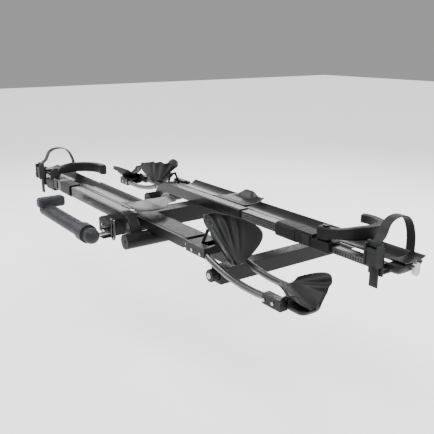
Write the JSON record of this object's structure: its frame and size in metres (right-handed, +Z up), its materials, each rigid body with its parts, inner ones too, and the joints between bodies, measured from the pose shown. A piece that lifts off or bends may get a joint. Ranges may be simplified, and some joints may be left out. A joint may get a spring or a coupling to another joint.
{
  "type": "hitch mounted bike rack",
  "caption": "Platform rack for a square hitch receiver with telescoping wheel trays, fold-up front wheel jaws, swinging rear claws and ratchet wheel straps.",
  "frame": {"origin": "centre of the cross hole in the square hitch arm that takes the hitch pin", "axes": "+X along the wheel trays, towards the end with the far tray's strap; +Y along the hitch arm, towards the vehicle; +Z up"},
  "size_m": [1.895, 0.865, 0.247],
  "materials": {
    "frame_black": "satin powder coat",
    "tray_grey": "smooth satin grey",
    "cover_grey": "matte moulded",
    "cap_black": "fine matte",
    "button_grey": "fine matte",
    "claw_grey": "matte moulded",
    "handle_grey": "matte rubbery",
    "knob_black": "fine matte",
    "strap_grey": "matte",
    "tube_silver": "satin",
    "zinc": "bright"
  },
  "bodies": {
    "frame": {"spine_beam": "frame_black", "spine_end_caps": "cap_black", "cross_arm": "frame_black", "hitch_shank": "frame_black", "shank_plugs": "cap_black", "clamp_barrels": "frame_black", "barrel_caps": "cap_black", "outer_troughs": "tray_grey", "deck_covers": "cover_grey", "latch_plates": "frame_black", "latch_rods": "zinc", "latch_bolts": "zinc", "jaw_bases": "frame_black", "jaw_pins": "zinc", "near_outer_rail": "frame_black", "far_outer_rail": "frame_black"},
    "knob": {"hitch_knob": "knob_black", "knob_lock": "zinc"},
    "t_handle": {"t_handle_arm": "handle_grey", "t_handle_grip": "handle_grey"},
    "near_slide": {"near_inner_rail": "tube_silver", "near_inner_trough": "tray_grey", "near_rail_collar": "cap_black", "near_latch_box": "cap_black", "near_claw_bracket": "frame_black", "near_end_scoop": "cap_black"},
    "near_button": {"near_release_button": "button_grey"},
    "near_pull": {"near_pull_handle": "zinc"},
    "near_claw": {"near_claw_arm": "claw_grey"},
    "near_strap": {"near_strap_base": "frame_black", "near_wheel_strap": "strap_grey", "near_strap_buckle": "strap_grey"},
    "near_lever": {"near_ratchet_lever": "button_grey"},
    "near_jaw": {"near_jaw_yoke": "frame_black", "near_jaw_tubes": "tube_silver", "near_jaw_rivets": "zinc", "near_cup_bracket": "frame_black", "near_inner_cup": "claw_grey", "near_cup_strut": "frame_black"},
    "near_cup": {"near_outer_cup": "claw_grey"},
    "far_slide": {"far_inner_rail": "tube_silver", "far_inner_trough": "tray_grey", "far_rail_collar": "cap_black", "far_latch_box": "cap_black", "far_claw_bracket": "frame_black", "far_end_scoop": "cap_black"},
    "far_button": {"far_release_button": "button_grey"},
    "far_pull": {"far_pull_handle": "zinc"},
    "far_claw": {"far_claw_arm": "claw_grey"},
    "far_strap": {"far_strap_base": "frame_black", "far_wheel_strap": "strap_grey", "far_strap_buckle": "strap_grey"},
    "far_lever": {"far_ratchet_lever": "button_grey"},
    "far_jaw": {"far_jaw_yoke": "frame_black", "far_jaw_tubes": "tube_silver", "far_jaw_rivets": "zinc", "far_cup_bracket": "frame_black", "far_inner_cup": "claw_grey", "far_cup_strut": "frame_black"},
    "far_cup": {"far_outer_cup": "claw_grey"}
  },
  "joints": [
    {"name": "near_tray_slide", "type": "slide", "parent": "frame", "child": "near_slide", "axis": [-1, 0, 0], "range_m": [0, 0.275]},
    {"name": "near_strap_slide", "type": "slide", "parent": "near_slide", "child": "near_strap", "axis": [-1, 0, 0], "range_m": [0, 0.115]},
    {"name": "near_button_press", "type": "slide", "parent": "near_slide", "child": "near_button", "axis": [0, 1, 0], "range_m": [0, 0.004], "stiffness_N_per_m": 2000},
    {"name": "near_pull", "type": "slide", "parent": "near_slide", "child": "near_pull", "axis": [-1, 0, 0], "range_m": [0, 0.02], "stiffness_N_per_m": 1500},
    {"name": "near_claw_swing", "type": "hinge", "parent": "near_slide", "child": "near_claw", "pos_m": [-1.139, -0.637, 0.123], "axis": [0, 0, -1], "range_deg": [-10, 30]},
    {"name": "near_lever_flip", "type": "hinge", "parent": "near_strap", "child": "near_lever", "pos_m": [-1.24, -0.679, 0.136], "axis": [-1, 0, 0], "range_deg": [0, 100]},
    {"name": "near_jaw_fold", "type": "hinge", "parent": "frame", "child": "near_jaw", "pos_m": [-0.13, -0.552, 0.066], "axis": [0, -1, 0], "range_deg": [0, 75]},
    {"name": "near_cup_rock", "type": "hinge", "parent": "near_jaw", "child": "near_cup", "pos_m": [0.305, -0.552, 0.03], "axis": [0, -1, 0], "range_deg": [0, 8]},
    {"name": "far_tray_slide", "type": "slide", "parent": "frame", "child": "far_slide", "axis": [1, 0, 0], "range_m": [-0.19, 0]},
    {"name": "far_strap_slide", "type": "slide", "parent": "far_slide", "child": "far_strap", "axis": [1, 0, 0], "range_m": [-0.045, 0]},
    {"name": "far_button_press", "type": "slide", "parent": "far_slide", "child": "far_button", "axis": [0, 1, 0], "range_m": [0, 0.004], "stiffness_N_per_m": 2000},
    {"name": "far_pull", "type": "slide", "parent": "far_slide", "child": "far_pull", "axis": [1, 0, 0], "range_m": [0, 0.02], "stiffness_N_per_m": 1500},
    {"name": "far_claw_swing", "type": "hinge", "parent": "far_slide", "child": "far_claw", "pos_m": [0.164, -0.281, 0.123], "axis": [0, 0, 1], "range_deg": [0, 60]},
    {"name": "far_lever_flip", "type": "hinge", "parent": "far_strap", "child": "far_lever", "pos_m": [0.38, -0.323, 0.136], "axis": [-1, 0, 0], "range_deg": [0, 100]},
    {"name": "far_jaw_fold", "type": "hinge", "parent": "frame", "child": "far_jaw", "pos_m": [-0.81, -0.196, 0.06], "axis": [0, 1, 0], "range_deg": [0, 75]},
    {"name": "far_cup_rock", "type": "hinge", "parent": "far_jaw", "child": "far_cup", "pos_m": [-1.245, -0.196, 0.024], "axis": [0, 1, 0], "range_deg": [0, 8]},
    {"name": "t_handle_lift", "type": "hinge", "parent": "frame", "child": "t_handle", "pos_m": [-0.477, -0.75, 0.036], "axis": [0, 1, 0], "range_deg": [0, 45]},
    {"name": "knob_turn", "type": "hinge", "parent": "frame", "child": "knob", "pos_m": [0, -0.59, 0.002], "axis": [0, 1, 0], "continuous": true}
  ]
}
